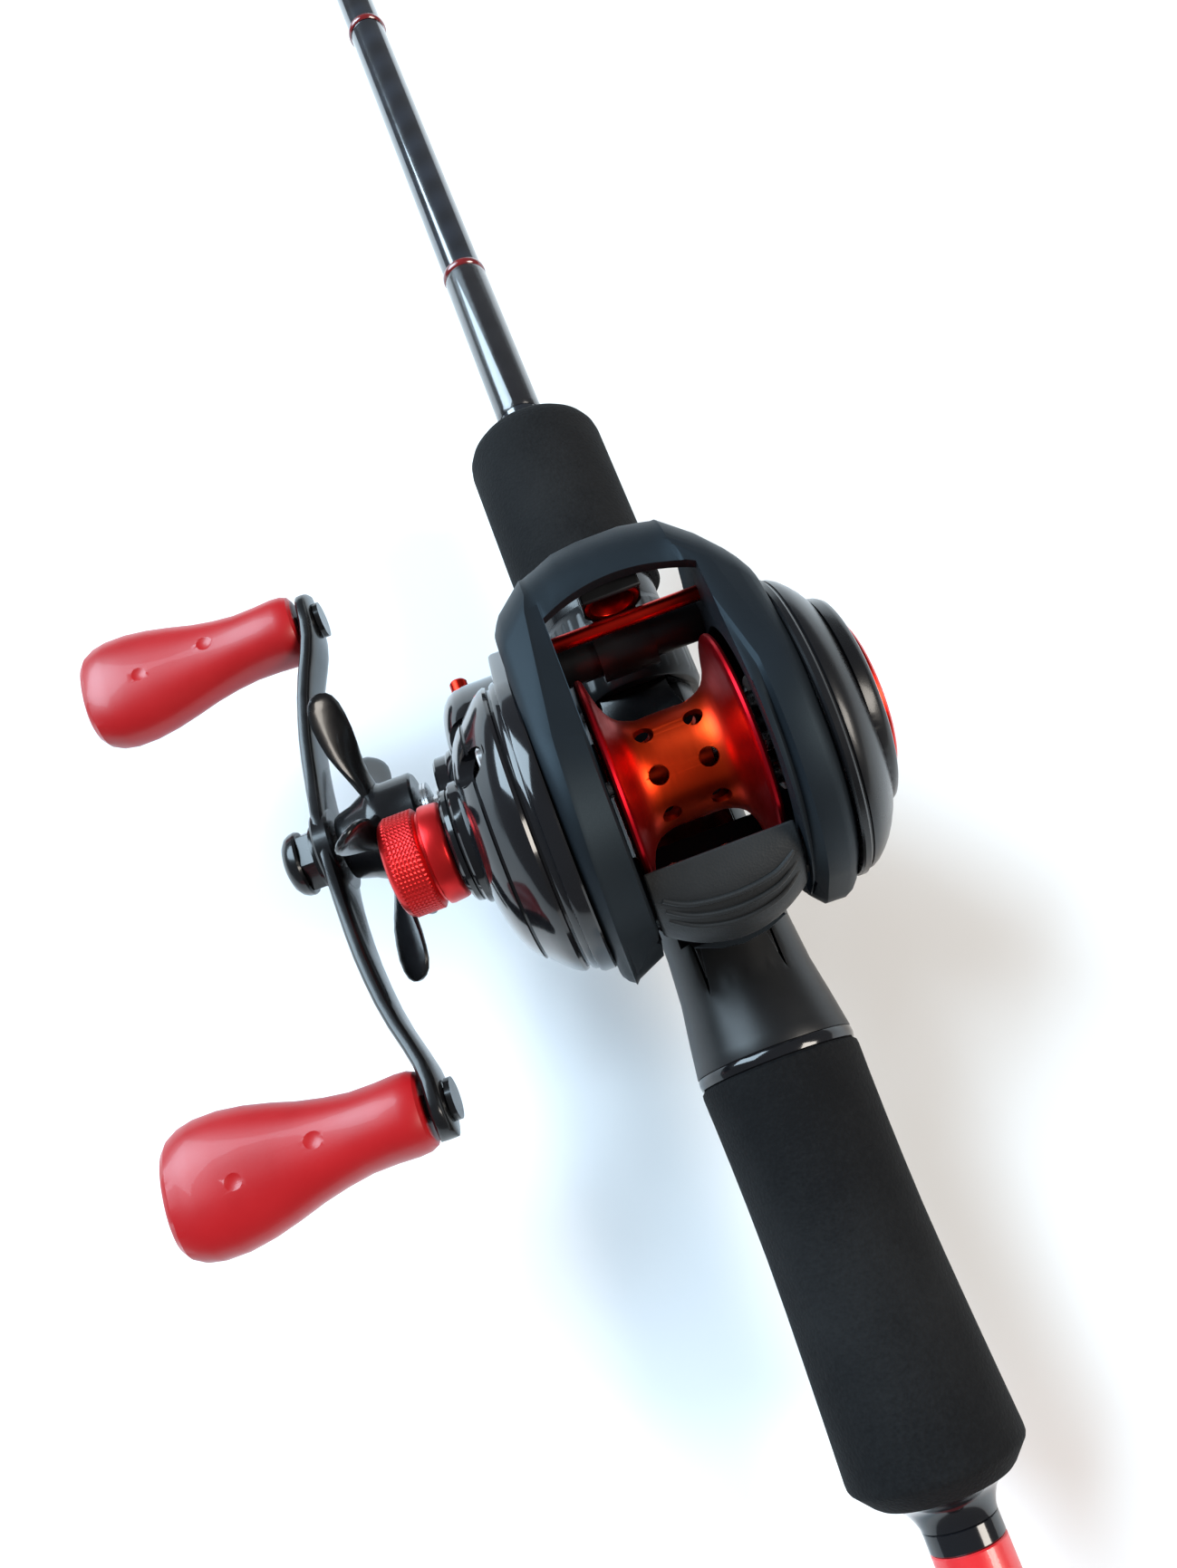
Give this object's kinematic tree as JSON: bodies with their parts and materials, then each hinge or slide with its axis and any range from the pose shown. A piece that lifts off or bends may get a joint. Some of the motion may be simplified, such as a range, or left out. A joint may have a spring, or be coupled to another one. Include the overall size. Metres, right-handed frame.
{
  "type": "fishing rod and reel",
  "caption": "One-piece casting rod with split foam grips and trigger seat, carrying a low-profile baitcasting reel with a double-paddle handle.",
  "frame": {"origin": "centre of the butt cap's end face, on the rod axis", "axes": "+Y along the rod to its tip, +Z towards the reel, +X to the palm side of the reel"},
  "size_m": [0.1224, 1.98, 0.0785],
  "materials": {
    "blank_gloss": "gloss clear-coated carbon",
    "eva_foam": "matt closed-cell foam",
    "rubber_black": "matt",
    "gloss_black": "gloss",
    "satin_black": "satin moulded nylon",
    "soft_black": "soft-touch matt",
    "black_metal": "gloss black anodised",
    "red_metal": "satin red anodised",
    "red_grip": "satin",
    "steel": "ground",
    "brass": "machined",
    "white_nylon": "moulded",
    "carbon_felt": "woven carbon",
    "zinc_grey": "dark"
  },
  "bodies": {
    "rod": {"blank": "blank_gloss", "butt_cap": "rubber_black", "butt_grip": "eva_foam", "rear_grip": "eva_foam", "winding_checks": "gloss_black", "black_sleeves": "gloss_black", "red_sleeve": "red_grip", "reel_seat": "satin_black", "thread_wraps": "gloss_black", "trim_rings": "red_grip", "guide_frames": "black_metal", "guide_rings": "zinc_grey", "frame": "soft_black", "reel_foot": "black_metal", "foot_screws": "steel", "spool_bearings": "steel", "one_way_bearing": "steel", "shaft_bearing": "steel", "yoke_springs": "steel", "idler_pin": "steel", "worm_guard": "satin_black", "guide_rail": "red_metal", "handle_side_cover": "gloss_black", "cover_screws": "steel", "cap_shim": "zinc_grey", "palm_side_cover": "gloss_black"},
    "hood": {"sliding_hood": "satin_black"},
    "lock_nut": {"lock_nut": "zinc_grey", "foregrip": "eva_foam"},
    "spool": {"spool": "red_metal", "spool_shaft": "steel"},
    "crank": {"drive_shaft": "steel", "drive_gear": "brass", "drag_washers": "carbon_felt", "pressure_plate": "steel", "spring_washers": "steel", "drive_sleeve": "steel", "handle_arm": "black_metal", "handle_nut": "black_metal", "nut_retainer": "black_metal", "knob_spindles": "steel"},
    "star": {"star_drag": "black_metal"},
    "knob_front": {"knob_front": "red_grip"},
    "knob_rear": {"knob_rear": "red_grip"},
    "yoke": {"clutch_yoke": "white_nylon"},
    "pinion": {"pinion": "brass"},
    "thumb": {"thumb_bar": "soft_black", "clutch_cam": "white_nylon"},
    "cap": {"cast_control_cap": "red_metal"},
    "dial": {"brake_dial": "black_metal"},
    "magnets": {"magnet_carrier": "white_nylon", "magnets": "steel"},
    "worm": {"worm_shaft": "steel", "worm_gear": "white_nylon"},
    "idler": {"idler_gear": "white_nylon"},
    "line_guide": {"line_guide": "satin_black", "line_eye": "red_metal", "pawl": "brass"}
  },
  "joints": [
    {"name": "handle_turn", "type": "hinge", "parent": "rod", "child": "crank", "pos_m": [0, 0.251, 0.0155], "axis": [1, 0, 0], "continuous": true},
    {"name": "spool_spin", "type": "hinge", "parent": "rod", "child": "spool", "pos_m": [0, 0.24, 0.028], "axis": [1, 0, 0], "continuous": true},
    {"name": "thumb_bar_press", "type": "slide", "parent": "rod", "child": "thumb", "axis": [0, -0.4226, -0.9063], "range_m": [0, 0.0045]},
    {"name": "yoke_slide", "type": "slide", "parent": "rod", "child": "yoke", "axis": [-1, 0, 0], "range_m": [0, 0.002]},
    {"name": "pinion_spin", "type": "hinge", "parent": "yoke", "child": "pinion", "pos_m": [0, 0.24, 0.028], "axis": [1, 0, 0], "continuous": true},
    {"name": "star_turn", "type": "hinge", "parent": "crank", "child": "star", "pos_m": [0, 0.251, 0.0155], "axis": [1, 0, 0], "range_deg": [-180, 180]},
    {"name": "knob_front_spin", "type": "hinge", "parent": "crank", "child": "knob_front", "pos_m": [0, 0.29533, 0.01162], "axis": [1, 0, 0], "continuous": true},
    {"name": "knob_rear_spin", "type": "hinge", "parent": "crank", "child": "knob_rear", "pos_m": [0, 0.20667, 0.01938], "axis": [1, 0, 0], "continuous": true},
    {"name": "cast_cap_turn", "type": "hinge", "parent": "rod", "child": "cap", "pos_m": [0, 0.24, 0.028], "axis": [1, 0, 0], "range_deg": [-180, 180]},
    {"name": "brake_dial_turn", "type": "hinge", "parent": "rod", "child": "dial", "pos_m": [0, 0.24, 0.028], "axis": [1, 0, 0], "range_deg": [0, 270]},
    {"name": "magnet_slide", "type": "slide", "parent": "rod", "child": "magnets", "axis": [-1, 0, 0], "range_m": [0, 0.002]},
    {"name": "worm_spin", "type": "hinge", "parent": "rod", "child": "worm", "pos_m": [0, 0.2623, 0.0275], "axis": [1, 0, 0], "continuous": true},
    {"name": "idler_spin", "type": "hinge", "parent": "rod", "child": "idler", "pos_m": [0, 0.2592, 0.02122], "axis": [1, 0, 0], "continuous": true},
    {"name": "line_guide_slide", "type": "slide", "parent": "rod", "child": "line_guide", "axis": [1, 0, 0], "range_m": [-0.0056, 0.0076]},
    {"name": "hood_slide", "type": "slide", "parent": "rod", "child": "hood", "axis": [0, 1, 0], "range_m": [0, 0.004]},
    {"name": "lock_nut_turn", "type": "hinge", "parent": "hood", "child": "lock_nut", "pos_m": [0, 0.3, 0], "axis": [0, 1, 0], "range_deg": [0, 720]}
  ],
  "couplings": [
    {"joint": "spool_spin", "follows": "handle_turn", "ratio": -6.4},
    {"joint": "pinion_spin", "follows": "handle_turn", "ratio": -6.4},
    {"joint": "idler_spin", "follows": "handle_turn", "ratio": -1.5},
    {"joint": "worm_spin", "follows": "handle_turn", "ratio": 2},
    {"joint": "yoke_slide", "follows": "thumb_bar_press", "ratio": 0.444},
    {"joint": "magnet_slide", "follows": "brake_dial_turn", "m_per_rad": 0.00042229},
    {"joint": "hood_slide", "follows": "lock_nut_turn", "m_per_rad": 0.00031751}
  ]
}
